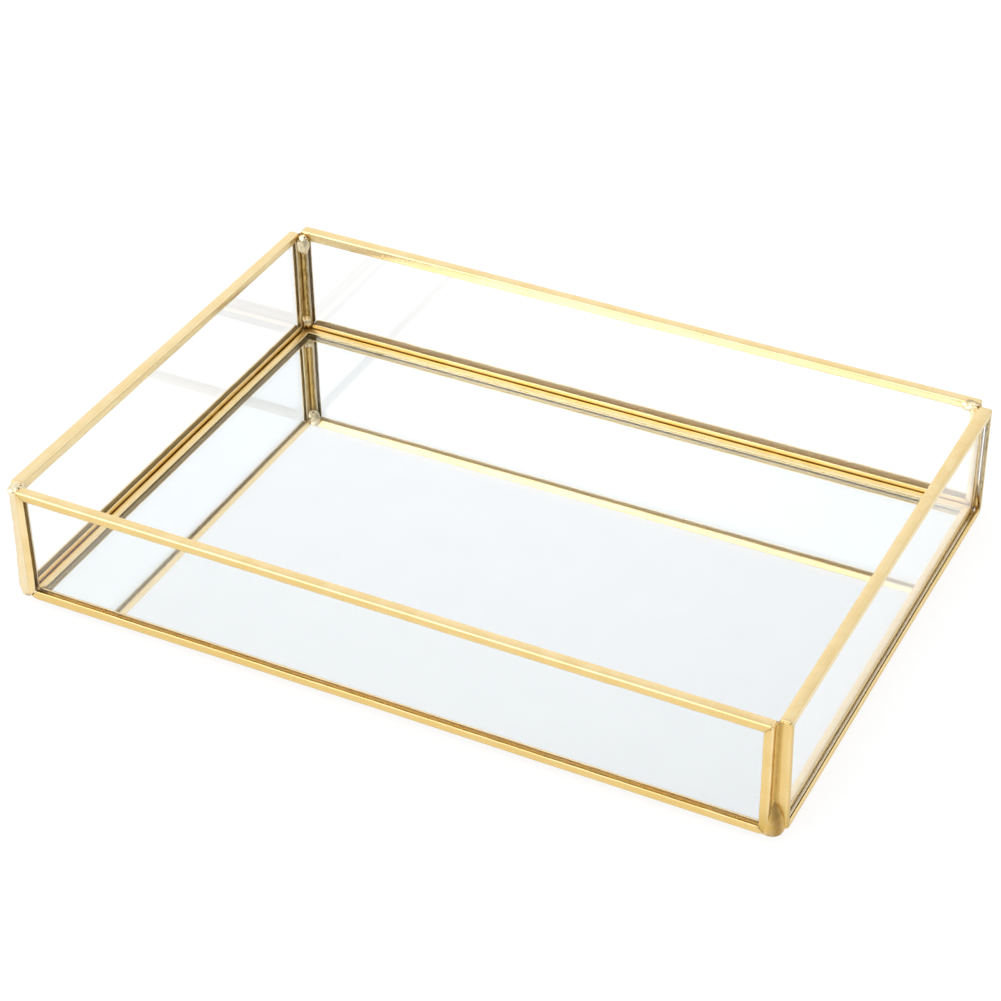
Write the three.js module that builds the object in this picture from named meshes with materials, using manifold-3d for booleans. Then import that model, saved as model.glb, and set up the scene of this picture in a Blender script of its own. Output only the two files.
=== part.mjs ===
// Rectangular vanity tray: four clear glass sides and a mirror base, each pane edged
// with four mitred lengths of folded brass channel, and the five framed panels
// soldered together along their inner edges.
//
// Millimetres, +Z up. X runs along the length, Y from front to back. The origin is
// on the surface that the tray stands on, under the middle of the tray.

import * as THREE from 'three';
import { mergeVertices } from 'three/addons/utils/BufferGeometryUtils.js';
import Module from 'manifold-3d';

const wasm = await Module();
wasm.setup();

// Driving dimensions
const LENGTH = 250; // over the side panels, along X
const WIDTH = 172; // over the front and back panels, along Y
const PANEL_HEIGHT = 39.3; // upright panels, edge to edge
const CHANNEL = 3.5; // thickness of the brass channel, so of each upright panel
const BASE_CHANNEL = 3.9; // the wider channel of the base
const FLANGE = 2.7; // how far the channel reaches over the pane
const SHEET = 0.4; // brass sheet the channel is folded from
const GLASS = 2.0; // clear side panes
const BASE_TUCK = 1.2; // the base stands this far up between the upright panels
const TOP_RADIUS = 1.0; // panel corners at the rim
const FOOT_RADIUS = 3.0; // panel corners at the foot
const FOLD_RADIUS = 0.4; // outer bend of the folded channel
const MITRE_GAP = 0.2; // open line of each mitre
const JOINT_GAP = 0.1; // between two upright panels at a corner
const BASE_GAP = 0.2; // between the base and the upright panels
const PANE_INSET = 0.7; // pane edge from the outer edge of its frame
const LEAST_RADIUS = 0.1; // corner of a pane that lies inside its frame's rounding

// Mirror layers, from the underside of the base up
const BACKING = 0.15; // protective paint
const SILVERING = 0.15; // reflecting coat
const MIRROR_GLASS = 2.4;
const LAYER_GAP = 0.05;

// Solder
const SEAM = 0.9; // leg of the fillet in each upright corner
const BASE_SEAM = 0.7; // leg of the fillet around the base
const SEAM_STOP = 2; // a fillet around the base ends this far short of each corner
const FILLET_HOLLOW = 0.3; // how near a fillet's face is drawn to its corner, as a share of its leg
const SOLDER_CLEARANCE = 0.1; // between solder and brass
const FOOT_FILL = 2.4; // leg of the fill at the foot of the notch outside a corner
const FOOT_FILL_HEIGHT = 10;
const FOOT_FILL_SHOULDER = 3.3; // height above its foot where that fill starts to run out
const RUN_OUT_DEPTH = 0.4; // how deep that fill still is at its top
const ROUND_FILL = 3.2; // radius of the fill where a whole notch is filled
const BEAD_SEGMENTS = 12;
const BEAD_RINGS = 8;

// Values that follow
const BASE_LENGTH = LENGTH - 2 * (CHANNEL + BASE_GAP);
const BASE_WIDTH = WIDTH - 2 * (CHANNEL + BASE_GAP);
const PANEL_FOOT = BASE_CHANNEL - BASE_TUCK; // height of the upright panels' lower edge
const RIM = PANEL_FOOT + PANEL_HEIGHT;
const CORNER_X = LENGTH / 2 - CHANNEL; // where the inner faces of two panels meet
const CORNER_Y = WIDTH / 2 - CHANNEL;
// A bead of solder: how far its middle is from its corner along X and Y, and its sizes
const OUTER_BEAD = { reach: -1.8, radius: 1.6, halfHeight: 1, middle: RIM - 1 };
const INNER_BEAD = { reach: 1.35, radius: 1.2, halfHeight: 2.6, middle: RIM - 3.6 };
const ARC_STEPS = 4; // straight pieces in a quarter turn
const BEND_STEPS = 2;
const WELD = 1e-4; // points nearer than this are one
const OVERSHOOT = 1; // how far a cutting solid runs past what it cuts
const QUARTER = Math.PI / 2;

const brass = new THREE.MeshStandardMaterial({ color: 0xe2c27c, roughness: 0.32, metalness: 1 });
const solder = new THREE.MeshStandardMaterial({ color: 0xe9d39c, roughness: 0.42, metalness: 1 });
const clearGlass = new THREE.MeshStandardMaterial({
  color: 0xeef3f4,
  roughness: 0.03,
  metalness: 0,
  transparent: true,
  opacity: 0.3,
});
const mirrorGlass = new THREE.MeshStandardMaterial({
  color: 0xe9f0f2,
  roughness: 0.03,
  metalness: 0,
  transparent: true,
  opacity: 0.35,
});
const silver = new THREE.MeshStandardMaterial({ color: 0xf2f5f6, roughness: 0.04, metalness: 1 });
const backingPaint = new THREE.MeshStandardMaterial({ color: 0x8b8f92, roughness: 0.7 });

function toSolid(geometry) {
  geometry.deleteAttribute('normal');
  geometry.deleteAttribute('uv');
  const merged = mergeVertices(geometry, WELD);
  return new wasm.Manifold(new wasm.Mesh({
    numProp: 3,
    vertProperties: new Float32Array(merged.attributes.position.array),
    triVerts: new Uint32Array(merged.index.array),
  }));
}

function toGeometry(solid) {
  const mesh = solid.getMesh();
  const geometry = new THREE.BufferGeometry();
  geometry.setAttribute('position', new THREE.BufferAttribute(mesh.vertProperties, 3));
  geometry.setIndex(new THREE.BufferAttribute(mesh.triVerts, 1));
  geometry.computeVertexNormals();
  return geometry;
}

function namedMesh(name, geometry, material) {
  const mesh = new THREE.Mesh(geometry, material);
  mesh.name = name;
  return mesh;
}

function polygon(points) {
  return new THREE.Shape(points.map(([x, y]) => new THREE.Vector2(x, y)));
}

// A slab of the given thickness, centred on the plane of its outline.
function slab(shape, thickness) {
  const geometry = new THREE.ExtrudeGeometry(shape, {
    depth: thickness,
    bevelEnabled: false,
    curveSegments: ARC_STEPS,
  });
  return geometry.translate(0, 0, -thickness / 2);
}

// The outline of a panel, drawn inside its outer edge by `inset`: X is centred on the
// panel and Y rises from its lower edge.
function panelOutline(panel, inset) {
  const right = panel.length / 2 - inset;
  const low = inset;
  const high = panel.height - inset;
  const foot = Math.max(panel.footRadius - inset, LEAST_RADIUS);
  const top = Math.max(panel.topRadius - inset, LEAST_RADIUS);
  const shape = new THREE.Shape();
  shape.moveTo(-right + foot, low);
  shape.absarc(right - foot, low + foot, foot, -QUARTER, 0);
  shape.absarc(right - top, high - top, top, 0, QUARTER);
  shape.absarc(-right + top, high - top, top, QUARTER, 2 * QUARTER);
  shape.absarc(-right + foot, low + foot, foot, 2 * QUARTER, 3 * QUARTER);
  return shape;
}

// The whole channel frame of a panel, before it is divided at the mitres: a slab with
// bent edges, a slot for the pane's edge, and the open window.
function channelRing(panel) {
  const body = new THREE.ExtrudeGeometry(panelOutline(panel, FOLD_RADIUS), {
    depth: panel.depth - 2 * FOLD_RADIUS,
    bevelThickness: FOLD_RADIUS,
    bevelSize: FOLD_RADIUS,
    bevelSegments: BEND_STEPS,
    curveSegments: ARC_STEPS,
  });
  body.translate(0, 0, FOLD_RADIUS - panel.depth / 2);
  const slot = slab(panelOutline(panel, SHEET), panel.depth - 2 * SHEET);
  const halfWindow = panel.length / 2 - FLANGE;
  const window = slab(polygon([
    [-halfWindow, FLANGE],
    [halfWindow, FLANGE],
    [halfWindow, panel.height - FLANGE],
    [-halfWindow, panel.height - FLANGE],
  ]), panel.depth + 2 * OVERSHOOT);
  return toSolid(body).subtract(toSolid(slot)).subtract(toSolid(window));
}

// The stretch of a frame that each of its four bars takes, between two mitre lines.
function barRegions(panel) {
  const half = panel.length / 2;
  const top = panel.height;
  const reach = FLANGE + OVERSHOOT;
  const shift = MITRE_GAP / Math.SQRT2;
  const rail = (edge, inward) => [
    [-half - OVERSHOOT + shift, edge - inward * OVERSHOOT],
    [half + OVERSHOOT - shift, edge - inward * OVERSHOOT],
    [half - reach - shift, edge + inward * reach],
    [-half + reach + shift, edge + inward * reach],
  ];
  const stile = (edge, inward) => [
    [edge - inward * OVERSHOOT, -OVERSHOOT + shift],
    [edge + inward * reach, reach + shift],
    [edge + inward * reach, top - reach - shift],
    [edge - inward * OVERSHOOT, top + OVERSHOOT - shift],
  ];
  return {
    rail_low: rail(0, 1),
    rail_high: rail(top, -1).reverse(),
    stile_left: stile(-half, 1),
    stile_right: stile(half, -1).reverse(),
  };
}

// One framed panel, standing on its lower edge in the XY plane, outer face to +Z.
function framedPanel(panel) {
  const group = new THREE.Group();
  const ring = channelRing(panel);
  for (const [part, points] of Object.entries(barRegions(panel))) {
    const region = toSolid(slab(polygon(points), panel.depth + 2 * OVERSHOOT));
    group.add(namedMesh(`${panel.name}_${part}`, toGeometry(ring.intersect(region)), brass));
  }
  return group;
}

function uprightPanel(name, length) {
  const panel = {
    name,
    length,
    height: PANEL_HEIGHT,
    depth: CHANNEL,
    topRadius: TOP_RADIUS,
    footRadius: FOOT_RADIUS,
  };
  const group = framedPanel(panel);
  group.add(namedMesh(`${name}_pane`, slab(panelOutline(panel, PANE_INSET), GLASS), clearGlass));
  group.rotation.x = QUARTER;
  return group;
}

// An upright panel is turned to face outward and set on its side of the tray.
function placeUpright(name, length, turn, distance) {
  const holder = new THREE.Group();
  const panel = uprightPanel(name, length);
  panel.position.set(0, -(distance - CHANNEL / 2), PANEL_FOOT);
  holder.rotation.z = turn;
  holder.add(panel);
  return holder;
}

function basePanel() {
  const panel = {
    name: 'base',
    length: BASE_LENGTH,
    height: BASE_WIDTH,
    depth: BASE_CHANNEL,
    topRadius: TOP_RADIUS,
    footRadius: TOP_RADIUS,
  };
  const group = framedPanel(panel);
  const layers = [
    ['base_backing_paint', BACKING, backingPaint],
    ['base_silvering', SILVERING, silver],
    ['base_mirror_glass', MIRROR_GLASS, mirrorGlass],
  ];
  let z = SHEET + LAYER_GAP - BASE_CHANNEL / 2;
  for (const [name, thickness, material] of layers) {
    const layer = slab(panelOutline(panel, PANE_INSET), thickness);
    layer.translate(0, 0, z + thickness / 2);
    group.add(namedMesh(name, layer, material));
    z += thickness + LAYER_GAP;
  }
  group.position.set(0, -BASE_WIDTH / 2, BASE_CHANNEL / 2);
  return group;
}

// A solder fillet with a hollow face, in the corner between +X and +Y, as an outline.
function filletShape(leg) {
  const near = SOLDER_CLEARANCE;
  const belly = near + FILLET_HOLLOW * (leg - near);
  const shape = new THREE.Shape();
  shape.moveTo(near, near);
  shape.lineTo(leg, near);
  shape.quadraticCurveTo(belly, belly, near, leg);
  return shape;
}

// The fillet that joins two upright panels on the inside of a corner, from the base to `top`.
function cornerSeam(name, top) {
  const foot = BASE_CHANNEL + BASE_SEAM;
  const geometry = slab(filletShape(SEAM), top - foot);
  geometry.translate(0, 0, (top + foot) / 2);
  return namedMesh(name, geometry, solder);
}

// The fill at the foot of the notch outside a corner: widest at the foot, running out
// to nothing against the two webs.
function footFill(name) {
  const near = -SOLDER_CLEARANCE;
  const prism = slab(polygon([[near, near], [-FOOT_FILL, near], [near, -FOOT_FILL]]), FOOT_FILL_HEIGHT);
  prism.translate(0, 0, FOOT_FILL_HEIGHT / 2);
  const reach = FOOT_FILL / Math.SQRT2 + OVERSHOOT;
  const runOutTop = FOOT_FILL_HEIGHT - OVERSHOOT;
  const runOut = slab(polygon([
    [-OVERSHOOT, -OVERSHOOT],
    [reach, -OVERSHOOT],
    [reach, FOOT_FILL_SHOULDER],
    [RUN_OUT_DEPTH, runOutTop],
    [-OVERSHOOT, runOutTop],
  ]), 2 * (FOOT_FILL + OVERSHOOT));
  runOut.rotateX(QUARTER);
  runOut.rotateZ(-3 * QUARTER / 2);
  const fill = toSolid(prism).intersect(toSolid(runOut));
  const geometry = toGeometry(fill).translate(0, 0, PANEL_FOOT + 2 * SOLDER_CLEARANCE);
  return namedMesh(name, geometry, solder);
}

// A round fill of the whole height of a notch, up to the bead that caps it.
function fullFill(name) {
  const near = -SOLDER_CLEARANCE;
  const shape = new THREE.Shape();
  shape.moveTo(near, near);
  shape.absarc(near, near, ROUND_FILL, 2 * QUARTER, 3 * QUARTER);
  const foot = PANEL_FOOT + 2 * SOLDER_CLEARANCE;
  const top = OUTER_BEAD.middle - OUTER_BEAD.halfHeight - SOLDER_CLEARANCE;
  const geometry = slab(shape, top - foot);
  geometry.translate(0, 0, (top + foot) / 2);
  return namedMesh(name, geometry, solder);
}

function bead(name, { reach, radius, halfHeight, middle }) {
  const geometry = new THREE.SphereGeometry(1, BEAD_SEGMENTS, BEAD_RINGS);
  geometry.rotateX(QUARTER);
  geometry.scale(radius, radius, halfHeight);
  geometry.translate(reach, reach, middle);
  return namedMesh(name, geometry, solder);
}

// The solder of one corner. Before it is turned, +X and +Y point into the tray.
function corner(name, x, y, turn, topBead) {
  const group = new THREE.Group();
  const hasInnerBead = topBead === INNER_BEAD;
  const underBead = INNER_BEAD.middle - INNER_BEAD.halfHeight - SOLDER_CLEARANCE;
  group.add(cornerSeam(`corner_seam_${name}`, hasInnerBead ? underBead : RIM - FOLD_RADIUS));
  const fill = topBead === OUTER_BEAD ? fullFill : footFill;
  group.add(fill(`corner_fill_${name}`));
  if (topBead) {
    group.add(bead(`corner_top_bead_${name}`, topBead));
  }
  group.position.set(x, y, 0);
  group.rotation.z = turn;
  return group;
}

// The fillet that joins the base to one upright panel, along the panel's foot.
function baseSeam(name, length, turn, distance) {
  const geometry = slab(filletShape(BASE_SEAM), length - 2 * SEAM_STOP);
  geometry.rotateX(QUARTER);
  geometry.rotateZ(QUARTER);
  const seam = namedMesh(`base_seam_${name}`, geometry, solder);
  seam.position.set(0, -distance, BASE_CHANNEL);
  const holder = new THREE.Group();
  holder.rotation.z = turn;
  holder.add(seam);
  return holder;
}

const tray = new THREE.Group();

const frontLength = LENGTH - 2 * (CHANNEL + JOINT_GAP);
const sideLength = WIDTH - 2 * (CHANNEL + JOINT_GAP);
const sides = [
  ['front', frontLength, 0, WIDTH / 2],
  ['right', sideLength, QUARTER, LENGTH / 2],
  ['back', frontLength, 2 * QUARTER, WIDTH / 2],
  ['left', sideLength, 3 * QUARTER, LENGTH / 2],
];
for (const [name, length, turn, distance] of sides) {
  tray.add(placeUpright(name, length, turn, distance));
  tray.add(baseSeam(name, length, turn, distance - CHANNEL));
}

tray.add(basePanel());

tray.add(corner('front_left', -CORNER_X, -CORNER_Y, 0, OUTER_BEAD));
tray.add(corner('front_right', CORNER_X, -CORNER_Y, QUARTER, null));
tray.add(corner('back_right', CORNER_X, CORNER_Y, 2 * QUARTER, INNER_BEAD));
tray.add(corner('back_left', -CORNER_X, CORNER_Y, 3 * QUARTER, INNER_BEAD));

export default tray;
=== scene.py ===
"""A vanity tray: four clear panes and a mirror base, each edged in folded brass channel, the
five framed panels soldered together. Metres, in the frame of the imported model: X along the
tray, Y from front to back, Z up, origin under the middle of the tray."""

import math

import bmesh
import bpy
from mathutils import Matrix, Vector, noise


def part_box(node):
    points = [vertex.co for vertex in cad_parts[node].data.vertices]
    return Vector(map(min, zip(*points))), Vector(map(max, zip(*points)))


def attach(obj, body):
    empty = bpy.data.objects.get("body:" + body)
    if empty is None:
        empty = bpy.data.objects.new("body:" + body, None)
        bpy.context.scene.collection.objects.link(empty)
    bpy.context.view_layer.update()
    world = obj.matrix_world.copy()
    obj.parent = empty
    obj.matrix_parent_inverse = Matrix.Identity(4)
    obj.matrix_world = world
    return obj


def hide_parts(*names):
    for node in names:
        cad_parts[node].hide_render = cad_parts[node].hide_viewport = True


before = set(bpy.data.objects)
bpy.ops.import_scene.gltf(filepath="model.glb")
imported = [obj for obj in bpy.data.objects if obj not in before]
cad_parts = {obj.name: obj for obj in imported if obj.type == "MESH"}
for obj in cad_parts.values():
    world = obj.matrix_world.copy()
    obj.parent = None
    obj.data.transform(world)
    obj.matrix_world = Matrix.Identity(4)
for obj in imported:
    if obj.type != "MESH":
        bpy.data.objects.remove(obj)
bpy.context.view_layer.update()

MM = 0.001

# Viewing angle
CAMERA_PLACE = Vector((0.3018, -0.5903, 0.5050))
CAMERA_AZIMUTH = math.radians(27.31)
CAMERA_ELEVATION = math.radians(36.127)
CAMERA_ROLL = math.radians(-0.8665)
CAMERA_LENS, CAMERA_SENSOR = 95.8, 36.0  # millimetres
CAMERA_CLIP = (0.01, 50.0)

# Folded channel
SHEET = 0.4 * MM
FOLD_RADIUS = 0.60 * MM  # outside of the bend
LEAN = 0.03 * MM  # how far the lips are pressed in towards the pane
LIP_ROLL = 0.33 * MM  # and further, the inner lips of the two stiles at the back left corner
LIP_FLARE = 0.65 * MM  # the outer lip of the back lower rail leans out by this much
CROWN = 0.04 * MM  # the web and each flange are this far from flat
SPLAY = 0.55 * MM  # how much thicker the right panel's channel is at its foot, outward
SPREAD = 0.7 * MM  # and how much thicker again toward the back
SAG = 0.5 * MM  # how much deeper the front panel's lower bar is folded at its left end
RISE = 0.6 * MM  # how far the left and back panels' upper bars stand above the rim at one end
RIM_RADIUS = 1.0 * MM  # panel corners
FOOT_RADIUS = 3.0 * MM
MITRE_GAP = 0.16 * MM
GAP_REACH = (0.15 * MM, 0.4 * MM)  # the mitre gap opens between these reaches from the web
END_ZONE = 1.2 * MM  # finely divided stretch at each end of a bar
END_STEPS = 8
STEP = 3.5 * MM
LEAST_STEPS = 6

# The folded section: where it is divided, and where handling has worn it
FLANGE_SHARES = (0.0, 0.06, 0.25, 0.5, 0.75, 0.94, 1.0)  # from the lip to the fold
FOLD_STEPS = 5
WEB_SHARES = (0.95, 0.5, 0.0, -0.5, -0.95)  # from the middle of the web to its folds
LIP_ROUND = ((0.8, 0.85), (0.0, 1.0), (-0.8, 0.85))  # (across, forward) in half sheets
LIP_WORN = (-0.3 * MM, 0.1 * MM)  # measured from the lip
FOLD_WORN = (0.1 * MM, 0.4 * MM)  # measured from the fold's middle
FOLD_MIDDLE = 0.2 * MM

# Hand-worked unevenness, each with the length over which it varies
BOW, BOW_SPAN = 0.05 * MM, 25 * MM  # slow wander of a whole bar
LIP_WAVE, WAVE_SPAN = 0.08 * MM, 11 * MM  # lips in and out
LIP_RAG, RAG_SPAN = 0.06 * MM, 3.2 * MM  # lips higher and lower
SETTLE = 8 * MM  # a bar is true to its corners over this length
SAG_START = 0.5 * MM  # the sag is whole up to here, and fades out up to the lip
RISE_LEAN = 0.6  # how far out a risen bar stands, as a share of its rise
SPREAD_AT_FOOT = 0.4  # share of the spread that reaches the foot

# Panes
PANE_INSET = 0.7 * MM  # pane edge from the outer edge of its frame
ARRIS = 0.15 * MM  # ground edge of a pane
ARC_STEPS = 8
LEAST_BEND = 0.2 * MM  # at a pane's corners

X, Y, Z = Vector((1, 0, 0)), Vector((0, 1, 0)), Vector((0, 0, 1))


def smooth(low, high, value):
    """0 below low, 1 above high, and an S curve between them."""
    share = min(max((value - low) / (high - low), 0.0), 1.0)
    return share * share * (3 - 2 * share)


def wander(*place):
    """Smooth noise from about -1 to 1."""
    return noise.noise(Vector(place)) * 1.6


def extent(*nodes):
    """Lowest and highest corner of several CAD nodes together."""
    boxes = [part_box(node) for node in nodes]
    low = Vector(min(box[0][i] for box in boxes) for i in range(3))
    high = Vector(max(box[1][i] for box in boxes) for i in range(3))
    return low, high


def thickness(node, axis):
    low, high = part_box(node)
    return (high - low)[axis]


FLANGE = thickness("front_rail_high", 2)
BASE_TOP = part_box("base_rail_low")[1].z
GLASS = thickness("front_pane", 1)
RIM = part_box("front_rail_high")[1].z
PANEL_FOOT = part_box("front_rail_low")[0].z
CORNER_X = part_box("right_rail_high")[0].x  # where the inner faces of two panels meet
CORNER_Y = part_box("back_rail_high")[0].y


# ---------------------------------------------------------------- materials


class Shades:
    """The nodes of one material."""

    def __init__(self, name):
        self.material = bpy.data.materials.new(name)
        self.material.use_nodes = True
        self.tree = self.material.node_tree
        self.tree.nodes.clear()
        self.surface = self.add("ShaderNodeBsdfPrincipled")
        output = self.add("ShaderNodeOutputMaterial")
        self.link(self.surface.outputs["BSDF"], output.inputs["Surface"])

    def add(self, kind, **settings):
        node = self.tree.nodes.new(kind)
        for key, value in settings.items():
            setattr(node, key, value)
        return node

    def link(self, source, target):
        self.tree.links.new(source, target)

    def constant(self, **values):
        for name, value in values.items():
            self.surface.inputs[name.replace("_", " ")].default_value = value

    def attribute(self, name, output="Vector"):
        return self.add("ShaderNodeAttribute", attribute_name=name).outputs[output]

    def place(self):
        return self.add("ShaderNodeTexCoord").outputs["Object"]

    def stretched(self, vector, scale):
        node = self.add("ShaderNodeVectorMath", operation="MULTIPLY")
        self.link(vector, node.inputs[0])
        node.inputs[1].default_value = scale
        return node.outputs["Vector"]

    def noise(self, vector, scale, detail=3.0, roughness=0.55):
        node = self.add("ShaderNodeTexNoise")
        self.link(vector, node.inputs["Vector"])
        node.inputs["Scale"].default_value = scale
        node.inputs["Detail"].default_value = detail
        node.inputs["Roughness"].default_value = roughness
        return node.outputs["Fac"]

    def spread(self, value, low, high, to_low=0.0, to_high=1.0):
        """value from low..high becomes to_low..to_high, and stays within it."""
        node = self.add("ShaderNodeMapRange", interpolation_type="SMOOTHSTEP")
        self.link(value, node.inputs["Value"])
        ends = {"From Min": low, "From Max": high, "To Min": to_low, "To Max": to_high}
        for key, number in ends.items():
            node.inputs[key].default_value = number
        return node.outputs["Result"]

    def math(self, operation, a, b):
        node = self.add("ShaderNodeMath", operation=operation)
        for socket, value in zip(node.inputs, (a, b)):
            if isinstance(value, (int, float)):
                socket.default_value = value
            else:
                self.link(value, socket)
        return node.outputs["Value"]

    def mixed(self, share, first, second):
        """Colour between first and second, each a colour or a socket."""
        node = self.add("ShaderNodeMix", data_type="RGBA")
        self.link(share, node.inputs["Factor"])
        for socket, value in ((node.inputs[6], first), (node.inputs[7], second)):
            if isinstance(value, tuple):
                socket.default_value = (*value, 1.0)
            else:
                self.link(value, socket)
        return node.outputs[2]

    def bump(self, height, distance, strength=1.0, below=None):
        node = self.add("ShaderNodeBump")
        self.link(height, node.inputs["Height"])
        node.inputs["Distance"].default_value = distance
        node.inputs["Strength"].default_value = strength
        if below is not None:
            self.link(below, node.inputs["Normal"])
        return node.outputs["Normal"]

    def finish(self, colour=None, roughness=None, normal=None):
        for value, name in ((colour, "Base Color"), (roughness, "Roughness"), (normal, "Normal")):
            if value is not None:
                self.link(value, self.surface.inputs[name])
        return self.material


EDGE_TINT = (0.85, 0.84, 0.80, 1.0)  # metals are this much darker where seen edge-on

BRASS = {
    "darker": (0.87, 0.645, 0.30),
    "lighter": (0.945, 0.74, 0.40),
    "streak": (0.83, 0.59, 0.22),
    # pale: the brass's own paler tone, also a painted highlight on some lips and painted light inside
    # some folds
    "pale": (0.97, 0.83, 0.56),
    # deep and dull only paint shade, milky only paints light inside a fold
    "deep": (0.80, 0.56, 0.19),
    "dull": (0.25, 0.20, 0.10),
    "milky": (0.98, 0.95, 0.91),
    "worn": (0.97, 0.80, 0.48),
    # real stains, and also painted shade
    "stained_and_shaded": (0.46, 0.30, 0.05),
}
SOLDER = {
    "darker": (0.86, 0.60, 0.23),
    "lighter": (0.92, 0.70, 0.36),
    "pale": (0.97, 0.86, 0.62),
    # deep: painted shade in the notches, the back left seam and the foot fills
    "deep": (0.74, 0.48, 0.12),
    "grain": (0.66, 0.42, 0.13),
    # flux and dirt, and painted shade in the groove, the notches and the foot fills
    "grimy_and_shaded": (0.22, 0.10, 0.01),
}


def brass_channel():
    """Bright brass-plated channel: drawn lengthwise, dented a little by the bender, darker
    where flux and dust sit and where shade is painted in, and paler on its lips, worn,
    and on some as a painted highlight, and inside some folds as painted light."""
    s = Shades("brass_channel")
    s.constant(Metallic=1.0, Specular_Tint=EDGE_TINT)
    run = s.attribute("run")
    place = s.place()
    lines = s.noise(s.stretched(run, (55.0, 2600.0, 1.0)), 1.0, 4.0, 0.6)
    broad = s.noise(s.stretched(run, (28.0, 700.0, 1.0)), 1.0, 2.0)
    clouds = s.noise(place, 130.0, 3.0)
    dents = s.noise(place, 420.0, 1.0)
    specks = s.noise(place, 2400.0, 2.0)
    wear = s.attribute("wear", "Fac")
    grime = s.attribute("grime", "Fac")
    pale = s.attribute("pale", "Fac")

    colour = s.mixed(s.spread(clouds, 0.35, 0.65), BRASS["darker"], BRASS["lighter"])
    colour = s.mixed(s.spread(broad, 0.4, 0.75, 0.0, 0.4), colour, BRASS["streak"])
    colour = s.mixed(pale, colour, BRASS["pale"])
    # deep and dull are painted shade, milky is painted light
    for tone in ("deep", "dull", "milky"):
        colour = s.mixed(s.attribute(tone, "Fac"), colour, BRASS[tone])
    worn = s.math("MULTIPLY", wear, s.spread(clouds, 0.3, 0.6, 0.1, 0.35))
    colour = s.mixed(worn, colour, BRASS["worn"])
    # darkened by real flux and dust, and by painted shade in folds, grooves, corners and stile feet
    stain_and_shade = s.math("MULTIPLY", grime, s.spread(specks, 0.35, 0.6, 0.6, 1.0))
    colour = s.mixed(stain_and_shade, colour, BRASS["stained_and_shaded"])

    roughness = s.spread(lines, 0.3, 0.7, 0.20, 0.30)
    roughness = s.math("ADD", roughness, s.spread(clouds, 0.3, 0.7, -0.03, 0.05))
    for cause, amount in ((stain_and_shade, 0.2), (pale, 0.22), (s.attribute("matt", "Fac"), 0.6)):
        roughness = s.math("ADD", roughness, s.math("MULTIPLY", cause, amount))
    normal = s.bump(dents, 0.00004, 0.4)
    normal = s.bump(lines, 0.000006, 0.3, normal)
    return s.finish(colour, roughness, normal)


def solder():
    """Solder plated with the brass: paler, lumpy, with dark flux pits, and painted shade in
    the groove, the notches, the back left seam and the foot fills.
    """
    s = Shades("solder")
    s.constant(Metallic=1.0, Specular_Tint=EDGE_TINT)
    place = s.place()
    lumps = s.noise(place, 900.0, 2.0)
    grain = s.noise(place, 4200.0, 3.0)
    clouds = s.noise(place, 350.0, 2.0)
    grime = s.attribute("grime", "Fac")
    colour = s.mixed(s.spread(clouds, 0.35, 0.65), SOLDER["darker"], SOLDER["lighter"])
    colour = s.mixed(s.attribute("pale", "Fac"), colour, SOLDER["pale"])
    colour = s.mixed(s.attribute("deep", "Fac"), colour, SOLDER["deep"])
    colour = s.mixed(s.spread(grain, 0.55, 0.75, 0.0, 0.35), colour, SOLDER["grain"])
    colour = s.mixed(grime, colour, SOLDER["grimy_and_shaded"])
    roughness = s.spread(lumps, 0.3, 0.7, 0.24, 0.40)
    roughness = s.math("ADD", roughness, s.math("MULTIPLY", grime, 0.25))
    normal = s.bump(lumps, 0.00012, 0.5)
    normal = s.bump(grain, 0.000015, 0.4, normal)
    return s.finish(colour, roughness, normal)


def clear_glass():
    """Float glass, with the faintest green and a trace of draw lines."""
    s = Shades("clear_glass")
    s.constant(Transmission_Weight=1.0, Roughness=0.0, IOR=1.51)
    place = s.place()
    colour = s.mixed(s.noise(place, 30.0, 2.0), (0.975, 0.985, 0.983), (0.982, 0.99, 0.988))
    normal = s.bump(s.noise(place, 22.0, 1.0), 0.00003, 0.15)
    return s.finish(colour, None, normal)


def mirror_glass():
    """The mirror's glass, a little bluer than the panes."""
    s = Shades("mirror_glass")
    s.constant(Transmission_Weight=1.0, Roughness=0.0, IOR=1.52)
    place = s.place()
    colour = s.mixed(s.noise(place, 24.0, 2.0), (0.98, 0.988, 0.99), (0.985, 0.992, 0.995))
    normal = s.bump(s.noise(place, 18.0, 1.0), 0.00003, 0.1)
    return s.finish(colour, None, normal)


def silvering():
    """The reflecting coat, very faintly clouded."""
    s = Shades("silvering")
    s.constant(Metallic=1.0)
    clouds = s.noise(s.place(), 60.0, 3.0)
    colour = s.mixed(s.spread(clouds, 0.3, 0.7), (0.845, 0.853, 0.860), (0.856, 0.864, 0.870))
    roughness = s.spread(clouds, 0.4, 0.8, 0.0, 0.012)
    return s.finish(colour, roughness, s.bump(clouds, 0.000002, 0.1))


def backing_paint():
    """Grey protective paint, brushed on."""
    s = Shades("backing_paint")
    place = s.place()
    strokes = s.noise(s.stretched(place, (60.0, 900.0, 900.0)), 1.0, 3.0)
    clouds = s.noise(place, 40.0, 3.0)
    colour = s.mixed(s.spread(clouds, 0.3, 0.7), (0.24, 0.25, 0.26), (0.31, 0.32, 0.325))
    roughness = s.spread(strokes, 0.3, 0.7, 0.55, 0.8)
    return s.finish(colour, roughness, s.bump(strokes, 0.00005, 0.5))


def floor_paint():
    """A pale sweep that glows a little, so that it stays white under the tray."""
    s = Shades("floor_paint")
    grain = s.noise(s.place(), 300.0, 2.0)
    colour = s.mixed(grain, (0.19, 0.19, 0.19), (0.21, 0.21, 0.21))
    s.constant(Roughness=0.9, Specular_IOR_Level=0.0)
    s.constant(Emission_Color=(1.0, 1.0, 1.0, 1.0), Emission_Strength=0.84)
    return s.finish(colour)


# ---------------------------------------------------------------- pieces


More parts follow.
